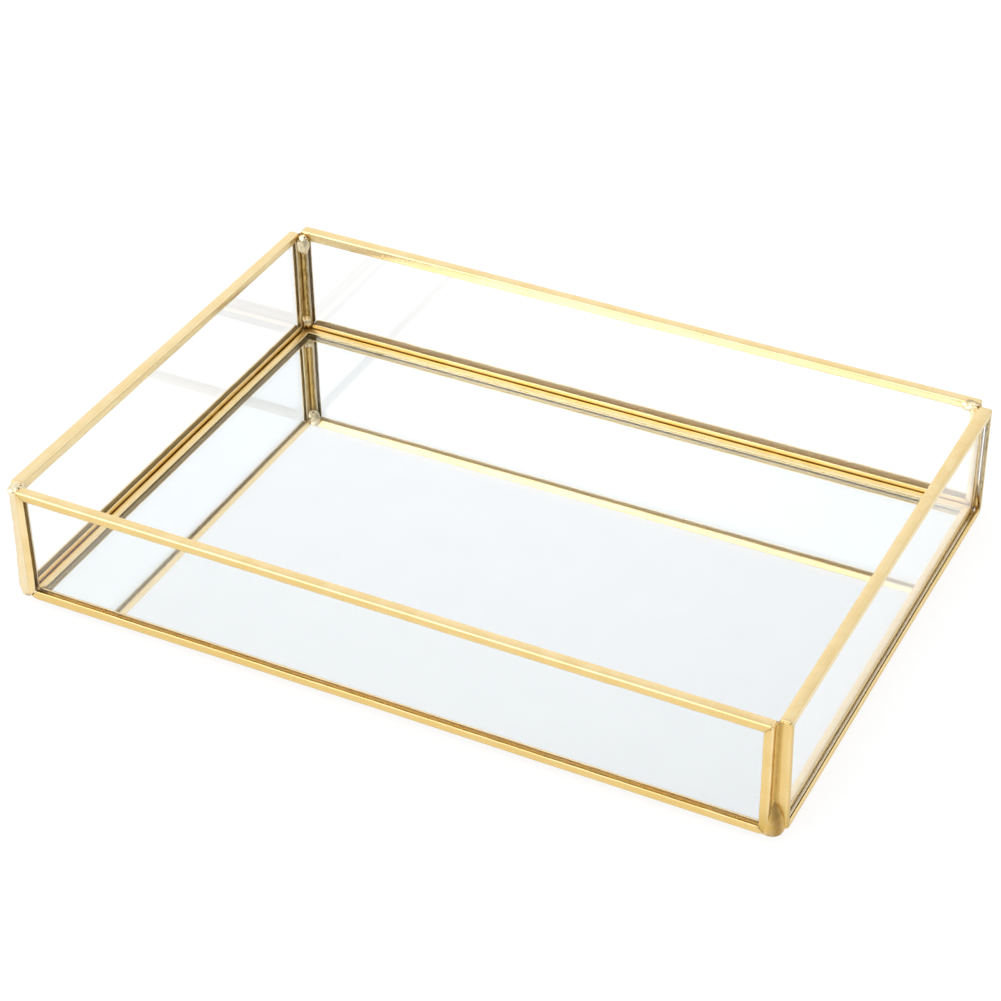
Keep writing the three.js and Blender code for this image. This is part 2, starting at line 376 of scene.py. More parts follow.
def add_piece(name, material, nodes, vertices, faces, smooth_shaded=True, points=None):
    """A mesh piece that stands for CAD nodes. points holds per-vertex values by name."""
    mesh = bpy.data.meshes.new(name)
    mesh.from_pydata(vertices, [], faces)
    shape = bmesh.new()
    shape.from_mesh(mesh)
    bmesh.ops.recalc_face_normals(shape, faces=shape.faces)
    shape.to_mesh(mesh)
    shape.free()
    mesh.polygons.foreach_set("use_smooth", [smooth_shaded] * len(mesh.polygons))
    for key, values in (points or {}).items():
        if isinstance(values[0], float):
            layer = mesh.attributes.new(key, "FLOAT", "POINT")
            layer.data.foreach_set("value", values)
        else:
            layer = mesh.attributes.new(key, "FLOAT_VECTOR", "POINT")
            layer.data.foreach_set("vector", [number for value in values for number in value])
    mesh.materials.append(material)
    piece = bpy.data.objects.new(name, mesh)
    bpy.context.scene.collection.objects.link(piece)
    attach(piece, "root")
    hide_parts(*nodes)
    return piece


def tube_faces(rings, around, closed_ends=True):
    """Quads between rings of vertices, and an end face on the first and last ring."""
    faces = []
    for ring in range(rings - 1):
        for i in range(around):
            j = (i + 1) % around
            base, following = ring * around, (ring + 1) * around
            faces.append((base + i, base + j, following + j, following + i))
    if closed_ends:
        faces.append(tuple(range(around)))
        faces.append(tuple((rings - 1) * around + i for i in range(around)))
    return faces


# ---------------------------------------------------------------- panels

BARS = ("rail_low", "rail_high", "stile_left", "stile_right")

# Tones of the brass, 0 to 1, by bar. A whole bar is paler:
PALE = {
    "right_rail_high": 0.2,
    "left_rail_high": 0.30,
    "left_stile_left": 0.1,
    "back_rail_high": 0.15,
    "back_stile_left": 1.0,
    "base_stile_left": 0.2,
    "base_rail_high": 0.2,
}
PALE_ELSEWHERE = 0.1
# Its outer flange is paler, or deeper and redder as painted shade, and its web is deeper, also
# painted shade:
PALE_FLANGE = {"right_rail_high": 0.9}
DEEP = {
    "front_rail_low": 0.75,
    "front_rail_high": 0.6,
    "front_stile_right": 0.6,
    "right_stile_left": 0.8,
    "right_rail_low": 0.5,
}
DEEP_WEB = {"right_stile_left": 0.6}
# Its lips are paler as a painted highlight, or the outer one is duller as a painted shadow line:
LIP_PALE = {"left_stile_left": 1.0, "back_stile_right": 1.0}
LIP_DULL = {"right_stile_right": 1.0}
# The inside of its fold is paler and whiter as painted light, more matt, or grimier with grime and
# painted shade:
INSIDE_PALE = {
    "back_rail_low": 0.9,
    "left_rail_low": 0.3,
    "left_rail_high": 0.9,
    "right_stile_right": 1.0,
}
INSIDE_MATT = {
    "back_rail_low": 0.8,
    "left_rail_low": 0.4,
    "left_rail_high": 0.8,
    "right_stile_right": 0.8,
}
INSIDE_MILKY = {"right_stile_right": 0.7}
INSIDE_GRIME_AND_SHADE = {
    "front_rail_low": 0.0,
    "front_stile_left": 0.45,
    "left_rail_low": 0.2,
    "back_rail_low": 0.0,
    "left_rail_high": 0.0,
    "right_stile_right": 0.0,
    "left_stile_left": 0.5,
    "back_stile_right": 0.7,
}
INSIDE_GRIME_AND_SHADE_ELSEWHERE = 0.3
# Its inner flange has painted shade below the lip:
INNER_SHADE = {"left_stile_left": 0.3, "back_stile_right": 0.3}

END_GRIME, END_GRIME_LENGTH = 0.3, 2.2 * MM  # at both ends of every bar
GROOVE_GRIME_AND_SHADE = 0.9  # grime and painted shade in the groove between the base and the upright panels,
BASE_GROOVE = (0.15 * MM, 0.65 * MM)  # out to these reaches on the base's bars
RAIL_GROOVE = (1.0 * MM, 1.5 * MM)  # and on the lower rails
FOOT_STILES = ("front_stile_right", "right_stile_left")  # painted shade, darker and deeper at the foot
FOOT_TONE_HEIGHT = 14 * MM
FOOT_SHADE, FOOT_DEEP = 0.5, 0.4
DARK_FOLDS = ("front_rail_low", "left_rail_low")  # painted shade, dull along the bottom fold
DARK_FOLD, DARK_FOLD_REACH = 0.9, (0.15 * MM, 0.55 * MM)
FOLD_SHADE, FOLD_SHADE_REACH = 0.35, (0.3 * MM, 0.8 * MM)  # painted shade, a dark reflection by the right top rail's outer fold
FOLD_SHADE_SHARE = (0.6, 0.9)  # of the way from the web's middle to the channel's outer face
# Where a lip's painted shadow and highlight start and are full, and where the painted
# shade below it ends, of the flange
LIP_DULL_SHARE = (0.45, 0.6)
LIP_PALE_SHARE = (0.6, 0.75)
INNER_SHADE_SHARE = (0.5, 0.62)


class Panel:
    """A framed panel: where its lower edge's middle is, and the ways along, up and out."""

    def __init__(self, name, along, up, out, foot_radius):
        low, high = extent(*(f"{name}_{bar}" for bar in BARS))
        size = high - low
        self.name, self.along, self.up, self.out = name, along, up, out
        self.length = abs(size.dot(along))
        self.height = abs(size.dot(up))
        self.channel = abs(size.dot(out))
        self.origin = (low + high) / 2 - up * self.height / 2
        self.foot_radius = foot_radius

    def point(self, along, up, out):
        return self.origin + self.along * along + self.up * up + self.out * out

    def bars(self):
        """(bar, start corner, direction, inward, length, first radius, last radius), going
        round the panel anticlockwise as seen from outside."""
        half, high = self.length / 2, self.height
        foot, rim = self.foot_radius, RIM_RADIUS
        return (
            ("rail_low", (-half, 0), (1, 0), (0, 1), self.length, foot, foot),
            ("stile_right", (half, 0), (0, 1), (-1, 0), high, foot, rim),
            ("rail_high", (half, high), (-1, 0), (0, -1), self.length, rim, rim),
            ("stile_left", (-half, high), (0, -1), (1, 0), high, rim, foot),
        )


PANELS = (
    Panel("front", X, Z, -Y, FOOT_RADIUS),
    Panel("right", Y, Z, X, FOOT_RADIUS),
    Panel("back", -X, Z, Y, FOOT_RADIUS),
    Panel("left", -Y, Z, -X, FOOT_RADIUS),
    Panel("base", X, Y, Z, RIM_RADIUS),
)


# How much further the outer and inner flange of some bars reach than FLANGE
TALLER = {
    "front_rail_low": (0.0, 0.25 * MM),
    "right_rail_low": (-0.6 * MM, 0.0),
    "right_stile_right": (-0.9 * MM, -1.2 * MM),
    "back_rail_low": (0.5 * MM, 0.0),
    "back_stile_right": (0.0, -0.35 * MM),
    "left_rail_low": (0.5 * MM, 0.0),
    "left_stile_left": (-0.7 * MM, -0.7 * MM),
    "base_rail_low": (-1.1 * MM, 0.0),
}


def channel_spine(channel, outer_lip, inner_lip, inner_roll):
    """The middle of the folded sheet's section from lip to lip, as (reach, out, normal):
    reach runs in from the web, out across the channel, and the normal faces outward."""
    middle = SHEET / 2
    radius = FOLD_RADIUS - middle
    half = channel / 2 - middle

    def flange(reach_of_lip, roll):
        lip = reach_of_lip - middle
        points = []
        for share in FLANGE_SHARES:
            reach = lip + (FOLD_RADIUS - lip) * share
            lean = LEAN * (1 - share) ** 1.5 + roll * (1 - share) ** 2
            lean -= CROWN * 4 * share * (1 - share)
            points.append((reach, half - lean, (LEAN / (lip - FOLD_RADIUS), 1.0)))
        for step in range(1, FOLD_STEPS + 1):
            turn = step / FOLD_STEPS * math.pi / 2
            reach = FOLD_RADIUS - radius * math.sin(turn)
            out = channel / 2 - FOLD_RADIUS + radius * math.cos(turn)
            points.append((reach, out, (-math.sin(turn), math.cos(turn))))
        return points

    web_half = channel / 2 - FOLD_RADIUS
    web = []
    for share in WEB_SHARES:
        web.append((middle - CROWN * (1 - share * share), web_half * share, (-1.0, 0.0)))
    inner = reversed(flange(inner_lip, inner_roll))
    return flange(outer_lip, 0.0) + web + [(reach, -out, (nx, -ny)) for reach, out, (nx, ny) in inner]


def channel_section(spine, channel):
    """The section of the channel as a closed loop of (reach, out, wear, inside)."""
    middle = SHEET / 2
    outer, inner = [], []
    for reach, out, normal in spine:
        unit = Vector(normal).normalized()
        lip = spine[0][0] if out > 0 else spine[-1][0]
        lip_wear = smooth(lip + LIP_WORN[0], lip + LIP_WORN[1], reach)
        fold_wear = 1 - smooth(*FOLD_WORN, abs(reach - FOLD_MIDDLE))
        fold_start = channel / 2 - FOLD_RADIUS - FOLD_WORN[0]
        fold_wear *= smooth(fold_start, channel / 2 - FOLD_MIDDLE, abs(out))
        outer.append((reach + unit.x * middle, out + unit.y * middle, max(lip_wear, fold_wear), 0.0))
        inner.append((reach - unit.x * middle, out - unit.y * middle, lip_wear, 1.0))

    def lip_round(side):
        """Nearly square end of the sheet, from its outer face to its inner one."""
        reach, out, normal = spine[-1 if side < 0 else 0]
        unit = Vector(normal).normalized()
        ahead = Vector((abs(unit.y), -unit.x * math.copysign(1, unit.y)))
        points = []
        for across, forward in LIP_ROUND:
            offset = unit * (across * middle) + ahead * (forward * middle)
            points.append((reach + offset.x, out + offset.y, 1.0, 0.0))
        return points

    return outer + lip_round(-1) + inner[::-1] + lip_round(1)[::-1]


def row_point(distance, reach, length, first, last):
    """Where a row of the channel at this reach is, this far along it from its first mitre:
    (along, inward), on the half arcs at its ends and the straight between them."""
    for radius, mirror in ((first, False), (last, True)):
        arc = max(radius - reach, 0.0)
        total = row_length(reach, length, first, last)
        run = total - distance if mirror else distance
        if run <= total / 2:
            if run < arc * math.pi / 4:
                turn = math.pi / 4 - run / arc
                along = radius - arc * math.sin(turn)
                inward = radius - arc * math.cos(turn)
            else:
                along = max(radius, reach) + run - arc * math.pi / 4
                inward = reach
            return (length - along if mirror else along), inward
    raise ValueError("a row has no such place")


def row_length(reach, length, first, last):
    arcs = (max(first - reach, 0.0) + max(last - reach, 0.0)) * math.pi / 4
    return arcs + length - max(first, reach) - max(last, reach)


def ring_distance(ring, middle_steps, total, zones):
    """How far along its row a ring is: the rings are close together in the end zones."""
    last = 2 * END_STEPS + middle_steps
    if ring <= END_STEPS:
        return zones[0] * ring / END_STEPS
    if ring >= last - END_STEPS:
        return total - zones[1] * (last - ring) / END_STEPS
    return zones[0] + (total - zones[0] - zones[1]) * (ring - END_STEPS) / middle_steps


def hand_worked(panel, a, b, w, out):
    """A point of a panel's channel, a along, b up and w out, moved by how it was folded."""
    half = panel.length / 2
    outward = smooth(0, panel.channel / 2, out)
    if panel.name == "right":
        rise = b / panel.height
        spread = SPREAD * (SPREAD_AT_FOOT + (1 - SPREAD_AT_FOOT) * rise) * smooth(0, half, a)
        w += (SPLAY * (1 - rise) + spread) * outward
    if panel.name == "front":
        b -= SAG * (1 - smooth(-half, 0, a)) * (1 - smooth(SAG_START, FLANGE, b))
    if panel.name in ("left", "back"):
        near_rim = smooth(panel.height - FLANGE, panel.height, b)
        lift = RISE * smooth(-half, half, a) * near_rim
        b += lift
        w += RISE_LEAN * lift * outward
    return a, b, w


def bar_tones(panel, bar, reach, out, inside, from_end, height):
    """The tones of the brass at a place on a bar: how far in from its web, how far out across
    the channel, 1 inside the fold, and how far from its nearer end and above the panel's foot."""
    node = f"{panel.name}_{bar}"
    outside = 1 - inside
    outer = 1.0 if out > 0 else 0.0
    near_web = 1 - smooth(0, FOLD_RADIUS, reach)
    flange = outer * (1 - near_web)

    def past(shares):
        return smooth(shares[0] * FLANGE, shares[1] * FLANGE, reach)

    # grime and painted shade inside the fold
    grime = INSIDE_GRIME_AND_SHADE.get(node, INSIDE_GRIME_AND_SHADE_ELSEWHERE) * inside
    end = 1 - smooth(0, END_GRIME_LENGTH, from_end - reach)
    grime += END_GRIME * end * (0.4 + 0.6 * reach / FLANGE)
    # painted shade: deeper on the flanges and webs that reflect shade
    deep = DEEP.get(node, 0.0) * flange + DEEP_WEB.get(node, 0.0) * near_web
    # a painted shadow line by the outer lip
    dull = LIP_DULL.get(node, 0.0) * flange * past(LIP_DULL_SHARE)
    # painted shade on the inner flange below the lip
    if out < 0:
        grime += INNER_SHADE.get(node, 0.0) * (1 - past(INNER_SHADE_SHARE)) * outside
    # grime and painted shade by the groove
    if panel.name == "base":
        grime += GROOVE_GRIME_AND_SHADE * (1 - smooth(*BASE_GROOVE, reach)) * outer
    elif bar == "rail_low" and out < 0:
        grime += GROOVE_GRIME_AND_SHADE * (1 - smooth(*RAIL_GROOVE, reach)) * outside
    # painted shade at the foot
    if node in FOOT_STILES:
        foot = 1 - smooth(0, FOOT_TONE_HEIGHT, height)
        grime += FOOT_SHADE * foot
        deep += FOOT_DEEP * foot
    # painted shade along the bottom fold
    if node in DARK_FOLDS:
        dull += DARK_FOLD * (1 - smooth(*DARK_FOLD_REACH, reach)) * outer
    # painted shade, a dark reflection along the outer fold
    if node == "right_rail_high":
        near_fold = smooth(*FOLD_SHADE_SHARE, 2 * out / panel.channel)
        grime += FOLD_SHADE * near_fold * (1 - smooth(*FOLD_SHADE_REACH, reach))
    # the bar's own paler tone, with painted light inside some folds and a painted highlight on some
    # lips
    pale = max(
        PALE.get(node, PALE_ELSEWHERE),
        PALE_FLANGE.get(node, 0.0) * flange,
        INSIDE_PALE.get(node, 0.0) * inside,
        LIP_PALE.get(node, 0.0) * past(LIP_PALE_SHARE) * outside,
    )
    return {
        "grime": min(grime, 1.0),
        "pale": pale,
        "deep": min(deep, 1.0),
        "dull": dull,
        "matt": INSIDE_MATT.get(node, 0.0) * inside,
        # painted light: whiter inside some folds
        "milky": INSIDE_MILKY.get(node, 0.0) * inside,
    }


def channel_bar(panel, bar, start, direction, inward, length, first, last, material):
    """One length of channel, mitred at both ends, with the unevenness of hand work."""
    node = f"{panel.name}_{bar}"
    seed = sum(ord(letter) for letter in panel.name + bar) * 0.37
    middle_steps = max(round(length / STEP), LEAST_STEPS)
    rings = 2 * END_STEPS + middle_steps + 1
    channel = panel.channel
    flare = LIP_FLARE if node == "back_rail_low" else 0.0  # none at the mitres
    roll = LIP_ROLL if node in LIP_PALE else 0.0
    lips = [FLANGE + taller for taller in TALLER.get(node, (0.0, 0.0))]
    spine = channel_spine(channel, *lips, roll)
    section = channel_section(spine, channel)
    arounds = [0.0]  # distance round the section, to each of its points
    for previous, point in zip(section, section[1:]):
        step = math.hypot(point[0] - previous[0], point[1] - previous[1])
        arounds.append(arounds[-1] + step)

    vertices = []
    values = {"run": [], "wear": []}
    for ring in range(rings):
        for (reach, out, wear, inside), position in zip(section, arounds):
            gap = MITRE_GAP / math.sqrt(2) * smooth(*GAP_REACH, reach)
            total = row_length(reach, length, first, last)
            zones = [max(radius - reach, 0.0) * math.pi / 4 + END_ZONE for radius in (first, last)]
            distance = ring_distance(ring, middle_steps, total, zones)
            distance = min(max(distance, gap), total - gap)
            s, t = row_point(distance, reach, length, first, last)
            from_end = min(s, length - s)
            free = smooth(0, SETTLE, from_end)
            to_lip = reach / FLANGE
            side = math.copysign(1, out) * smooth(0, channel / 4, abs(out))
            t += BOW * free * wander(s / BOW_SPAN, seed, 0.3)
            t += LIP_RAG * free * to_lip**3 * wander(s / RAG_SPAN, seed, 7.1 + side)
            wave = 1 + wander(s / WAVE_SPAN, seed, 3.7 + side)
            w = out - side * LIP_WAVE / 2 * free * to_lip**2 * wave
            w += flare * free * to_lip * smooth(0, channel / 4, out)
            a = start[0] + direction[0] * s + inward[0] * t
            b = start[1] + direction[1] * s + inward[1] * t
            a, b, w = hand_worked(panel, a, b, w, out)
            vertices.append(panel.point(a, b, w))
            values["run"].append((s + seed, position, 0.0))
            values["wear"].append(wear)
            tones = bar_tones(panel, bar, reach, out, inside, from_end, b)
            for tone, amount in tones.items():
                values.setdefault(tone, []).append(amount)

    sides = len(section)
    faces = tube_faces(rings, sides, closed_ends=False)
    for base in (0, (rings - 1) * sides):
        faces += end_faces(base, len(spine), sides)
    name = f"{node}_channel"
    return add_piece(name, material, [node], vertices, faces, points=values)


def end_faces(base, spine, around):
    """The cut end of a channel: quads across the sheet, from lip to lip."""
    faces = []
    half_lip = (around - 2 * spine) // 2
    inner_first = spine + half_lip
    for outer in range(spine - 1):
        inner = inner_first + (spine - 1 - outer)
        faces.append((base + outer, base + outer + 1, base + inner - 1, base + inner))
    last_lip = [spine - 1] + list(range(spine, spine + half_lip)) + [inner_first]
    first_lip = [inner_first + spine - 1] + list(range(inner_first + spine, around)) + [0]
    faces.append(tuple(base + i for i in last_lip))
    faces.append(tuple(base + i for i in first_lip))
    return faces


def outline(panel, inset):
    """Points round a panel, drawn inside its outer edge by inset, as (along, up)."""
    half, points = panel.length / 2 - inset, []
    corners = (
        (half, inset, panel.foot_radius, -90),
        (half, panel.height - inset, RIM_RADIUS, 0),
        (-half, panel.height - inset, RIM_RADIUS, 90),
        (-half, inset, panel.foot_radius, 180),
    )
    for x, y, radius, start in corners:
        bend = max(radius - inset, LEAST_BEND)
        cx = x - math.copysign(bend, x)
        cy = y + (bend if y < panel.height / 2 else -bend)
        for step in range(ARC_STEPS + 1):
            turn = math.radians(start + 90 * step / ARC_STEPS)
            points.append((cx + bend * math.cos(turn), cy + bend * math.sin(turn)))
    return points


def pane(panel, name, low, high, material):
    """A sheet of glass from out = low to high, with ground edges."""
    rings = (
        (PANE_INSET + ARRIS, low),
        (PANE_INSET, low + ARRIS),
        (PANE_INSET, high - ARRIS),
        (PANE_INSET + ARRIS, high),
    )
    vertices = [panel.point(a, b, out) for inset, out in rings for a, b in outline(panel, inset)]
    around = len(vertices) // len(rings)
    faces = tube_faces(len(rings), around)
    return add_piece(f"{name}_sheet", material, [name], vertices, faces, smooth_shaded=False)


# ---------------------------------------------------------------- solder

CORNERS = {
    "front_left": (-1, -1, 0),
    "front_right": (1, -1, 1),
    "back_right": (1, 1, 2),
    "back_left": (-1, 1, 3),
}


def corner_frame(corner):
    """Matrix from a corner's own axes, where +X and +Y point into the tray, to the tray."""
    x, y, quarters = CORNERS[corner]
    turn = Matrix.Rotation(quarters * math.pi / 2, 4, "Z")
    return Matrix.Translation((x * CORNER_X, y * CORNER_Y, 0)) @ turn


def arc_between(ends, belly, steps):
    """Points of a curve between two places, each the other's mirror image across the corner's
    diagonal, whose middle is drawn to (belly, belly)."""
    first, last = Vector(ends), Vector(reversed(ends))
    points = []
    for step in range(steps + 1):
        t = step / steps
        points.append(first * (1 - t) ** 2 + Vector((belly, belly)) * 2 * t * (1 - t) + last * t * t)
    return points


SEAM_LEG = 0.60 * MM  # how far the seam reaches along each panel inside the corner
NOTCH_LEGS = {"front_left": 0.4, "front_right": 1.5, "back_right": 0.8, "back_left": 0.6}
SEAM_STEP = 0.5 * MM
SEAM_SINK, NOTCH_SINK = 0.12 * MM, 0.2 * MM  # how far its edges are sunk into the brass
SEAM_ENDS = (-0.3 * MM, -0.5 * MM)  # from the base's top, and from the rim
INNER_STEPS, OUTER_STEPS = 8, 6
BELLY, SWELL_BELLY, NOTCH_BELLY = 0.25, 0.55, -0.3  # of the leg, the swell and the notch's leg
# The swell at the foot, and the knot below it in the wide seam, in millimetres
FOOT_SWELL = {"front_left": 0.5, "front_right": 0.6, "back_right": 0.7, "back_left": 1.3}
SWELL_HEIGHT, SWELL_LENGTH = 3.0 * MM, 1.7 * MM
KNOT_SWELL, KNOT_HEIGHT = 0.5 * MM, (0.8 * MM, 1.5 * MM)
WIDE_SWELL = 0.9  # share of the swell that the wide seam takes
# Its unevenness, each with the length over which it varies
LEG_WAVE, LEG_SPAN = 0.10 * MM, 1.9 * MM
NOTCH_WAVE, NOTCH_SPAN = 0.08 * MM, 2.1 * MM
RAGGED, RAGGED_SPAN = 0.10, 2.4 * MM  # the wide seam's, as a share
LUMP, LUMP_SPAN, LUMP_POINTS = 0.06 * MM, 1.4 * MM, 2.6
SWELL_LUMP = 0.10  # lumps grow by this share of the swell

# The back left corner's seam is wide and stepped: (along one panel, along the other) in
# millimetres, and the grime and painted shade at each point
WIDE_SEAM = (
    (1.5, -0.12),
    (1.2, 0.12),
    (0.8, 0.22),
    (0.5, 0.38),
    (0.85, 1.0),
    (0.6, 1.27),
    (0.28, 1.45),
    (0.14, 1.7),
    (-0.12, 1.9),
)
WIDE_SEAM_GRIME_AND_SHADE = (0.3, 0.2, 0.5, 1.0, 0.1, 0.0, 0.6, 0.5, 0.2)


def seam_tones(corner, i, foot, knot):
    """(grime and painted shade, pale, deep as painted shade) at point i of a seam's section."""
    if i > INNER_STEPS:
        # painted shade: the notch's seam is deeper, and darker towards the notch's root
        depth = 1 - abs(i - INNER_STEPS - 1 - OUTER_STEPS / 2) / (OUTER_STEPS / 2)
        return 0.05 + 0.4 * max(depth, 0.0), 0.0, 0.7
    pale = 0.9 * foot
    if corner == "back_left":
        # grime and painted shade along the wide seam, and a deeper tone as painted shade
        return max(WIDE_SEAM_GRIME_AND_SHADE[i] * (1 - 0.8 * foot), knot), pale, 0.5 * (1 - foot)
    edge = 1 - smooth(0, 0.25, min(i, INNER_STEPS - i) / INNER_STEPS)
    return 0.15 + 0.45 * edge, pale, 0.0


def corner_seam(corner, material):
    """Solder down the inside of a corner, thin, and swollen where it meets the base."""
    frame_matrix = corner_frame(corner)
    seed = 3.1 * list(CORNERS).index(corner)
    wide = corner == "back_left"
    low, high = BASE_TOP + SEAM_ENDS[0], RIM + SEAM_ENDS[1]
    rings = round((high - low) / SEAM_STEP)
    vertices, tones = [], []
    for ring in range(rings + 1):
        z = low + (high - low) * ring / rings
        foot = math.exp(-(((z - low - SWELL_HEIGHT) / SWELL_LENGTH) ** 4))
        knot = 1 - smooth(*KNOT_HEIGHT, z - low) if wide else 0.0
        swell = FOOT_SWELL[corner] * MM * foot + KNOT_SWELL * knot
        leg = SEAM_LEG + swell + LEG_WAVE * wander(z / LEG_SPAN, seed, 0.0)
        notch = NOTCH_LEGS[corner] * MM + NOTCH_WAVE * wander(z / NOTCH_SPAN, seed, 4.0)
        inner = arc_between((leg, -SEAM_SINK), BELLY * leg + SWELL_BELLY * swell, INNER_STEPS)
        if wide:
            ragged = MM * (1 + RAGGED * wander(z / RAGGED_SPAN, seed, 1.0))
            swollen = Vector((swell, swell)) * WIDE_SWELL
            inner = [Vector(point) * ragged + swollen for point in WIDE_SEAM]
        outer = arc_between((-notch, NOTCH_SINK), NOTCH_BELLY * notch, OUTER_STEPS)
        for i, point in enumerate(inner + outer):
            bulge = 0.0
            if i <= INNER_STEPS:
                bulge = (LUMP + SWELL_LUMP * swell) * math.sin(math.pi * i / INNER_STEPS)
                bulge *= wander(z / LUMP_SPAN, i / LUMP_POINTS, seed)
            vertices.append(frame_matrix @ Vector((point.x + bulge, point.y + bulge, z)))
            tones.append(seam_tones(corner, i, foot, knot))
    faces = tube_faces(rings + 1, INNER_STEPS + OUTER_STEPS + 2)
    node = f"corner_seam_{corner}"
    points = dict(zip(("grime", "pale", "deep"), map(list, zip(*tones))))
    return add_piece(f"{node}_bead", material, [node], vertices, faces, points=points)


# The fill in a notch, in millimetres unless it says MM. Its section's curve has the control
# point below, and that point's mirror image, where it stands out by FULL_SECTION.
FILL_FOOT, FILL_TOP = 0.15 * MM, 0.9 * MM  # from the panels' foot, and from the rim
FILL_HEIGHT = 12.0 * MM  # of those that don't reach the rim
FILL_STEP, FILL_STEPS = 0.3 * MM, 14
FILL_ROOT = 0.6 * MM  # the section's hidden corner, inside the tray's corner
FILL_CONTROL, FULL_SECTION = (-5.0, -1.9), 3.85
FILL_WIDTH, FILL_REACH = 0.94, 3.3  # its edges reach out by this share of the bulge, and no more
FULL_BULGE, FULL_TAPER = 4.2, 0.85  # the one that reaches the rim
FOOT_BULGE, FOOT_TAPER, FOOT_RUN_OUT = 3.6, 0.2, 2.6  # the others
FULL_LAP, FOOT_LAP, FOOT_LAP_LOSS = 0.5, 2.1, 1.1  # of their edges past the notch
FOOT_ROUND, FOOT_ROUND_HEIGHT = 0.26, (-1.0 * MM, 2.8 * MM)  # less bulge at the very foot
FILL_WAVE, FILL_SPAN = 0.06, 2.6 * MM
FILL_LUMP, FILL_LUMP_SPAN, FILL_LUMP_POINTS = 0.09 * MM, 1.8 * MM, 3.4
PITTED, PITTED_HEIGHT = (0.1, 0.5), (0.2 * MM, 1.6 * MM)  # flux pits along its foot
SPOTTED, SPOTTED_HEIGHT = (-0.2, 0.3), (0.8 * MM, 2.4 * MM)  # and pale spots


def fill_section(full, rise, height):
    """(bulge, lap) of the fill in a notch, this far above its foot."""
    if full:
        bulge, lap = FULL_BULGE - FULL_TAPER * smooth(-0.1 * height, 0.8 * height, rise), FULL_LAP
    else:
        bulge = FOOT_BULGE - FOOT_TAPER * smooth(0, 5 * MM, rise)
        bulge -= FOOT_RUN_OUT * smooth(3.5 * MM, FILL_HEIGHT, rise)
        lap = FOOT_LAP - FOOT_LAP_LOSS * smooth(3 * MM, FILL_HEIGHT, rise)
    whole = math.sqrt(smooth(*FOOT_ROUND_HEIGHT, rise))
    return bulge * (1 - FOOT_ROUND * (1 - whole)), lap


def corner_fill(corner, material):
    """Solder in the foot of the notch outside a corner, running out upward; the front left
    notch is filled to the rim, and stands proud of both panels."""
    frame_matrix = corner_frame(corner)
    full = corner == "front_left"
    seed = 11.3 + 2.7 * list(CORNERS).index(corner)
    low = PANEL_FOOT + FILL_FOOT
    height = RIM - FILL_TOP - low if full else FILL_HEIGHT
    rings = round(height / FILL_STEP)
    vertices, darkenings, pales = [], [], []
    for ring in range(rings + 1):
        z = low + height * ring / rings
        rise = z - low
        bulge, lap = fill_section(full, rise, height)
        bulge += FILL_WAVE * wander(z / FILL_SPAN, seed, 0.0)
        reach = min(bulge * FILL_WIDTH, FILL_REACH)
        first, last = Vector((-reach, lap)) * MM, Vector((lap, -reach)) * MM
        near = Vector(FILL_CONTROL) * bulge / FULL_SECTION * MM
        side = Vector((near.y, near.x))
        vertices.append(frame_matrix @ Vector((FILL_ROOT, FILL_ROOT, z)))
        darkenings.append(0.05 if full else 0.4)
        pales.append(0.0)
        for i in range(FILL_STEPS + 1):
            t = i / FILL_STEPS
            u = 1 - t
            point = first * u**3 + near * 3 * t * u**2 + side * 3 * t**2 * u + last * t**3
            middle = math.sin(math.pi * t)
            out = FILL_LUMP * middle * wander(z / FILL_LUMP_SPAN, i / FILL_LUMP_POINTS, seed)
            vertices.append(frame_matrix @ Vector((point.x - out, point.y - out, z)))
            pit = smooth(*PITTED, wander(i / 2.2, seed, 8.0))
            pit *= 1 - smooth(*PITTED_HEIGHT, rise)
            spot = smooth(*SPOTTED, wander(i / 1.8, seed, 12.0))
            spot *= 1 - smooth(*SPOTTED_HEIGHT, rise)
            # flux pits along the foot, and painted shade down the middle of the fills that run out
            darkenings.append(min(0.05 + 0.4 * pit + (0.0 if full else 0.6 * middle**3), 1.0))
            pales.append(0.7 if full else 0.9 * spot)
    faces = tube_faces(rings + 1, FILL_STEPS + 2)
    node = f"corner_fill_{corner}"
    # painted shade: the fills that run out are deeper
    deeps = [0.0 if full else 0.5] * len(darkenings)
    points = {"grime": darkenings, "pale": pales, "deep": deeps}
    return add_piece(f"{node}_solder", material, [node], vertices, faces, points=points)


# Beads in millimetres, in their corner's own axes: middle (Z is down from the rim) and radii
BEADS = {
    "front_left": ((-1.2, -0.5, -1.05), (2.45, 3.1, 1.75)),
    "back_right": ((2.3, 0.2, -1.2), (3.3, 1.9, 1.9)),
    "back_left": ((1.0, 1.6, -3.9), (1.7, 2.35, 3.7)),
}
# The ways from a bead's middle to its flux pits
PITS = {
    "front_left": ((0.35, 0.45, 1.0), (0.75, 0.2, 0.9), (0.85, -0.35, 0.8)),
    "back_right": ((0.75, 0.9, -0.35), (0.45, 0.8, -0.9), (-0.9, 0.7, 0.8)),
    "back_left": ((0.6, 0.2, -0.9), (0.2, 0.5, 0.9)),
}
PIT_RADIUS = 0.45 * MM
PIT_DEPTH = 0.35 * MM
BEAD_POWER = 2.3  # 2 is an ellipsoid, and more is squarer
BEAD_FULLNESS = 0.95
BEAD_LUMPS = ((0.08, 1.5), (0.04, 3.4))  # two sizes of lump: share of the radius, how many
BEAD_RIM = (-0.3 * MM, -0.05 * MM)  # a bead is grimy where it meets the panels


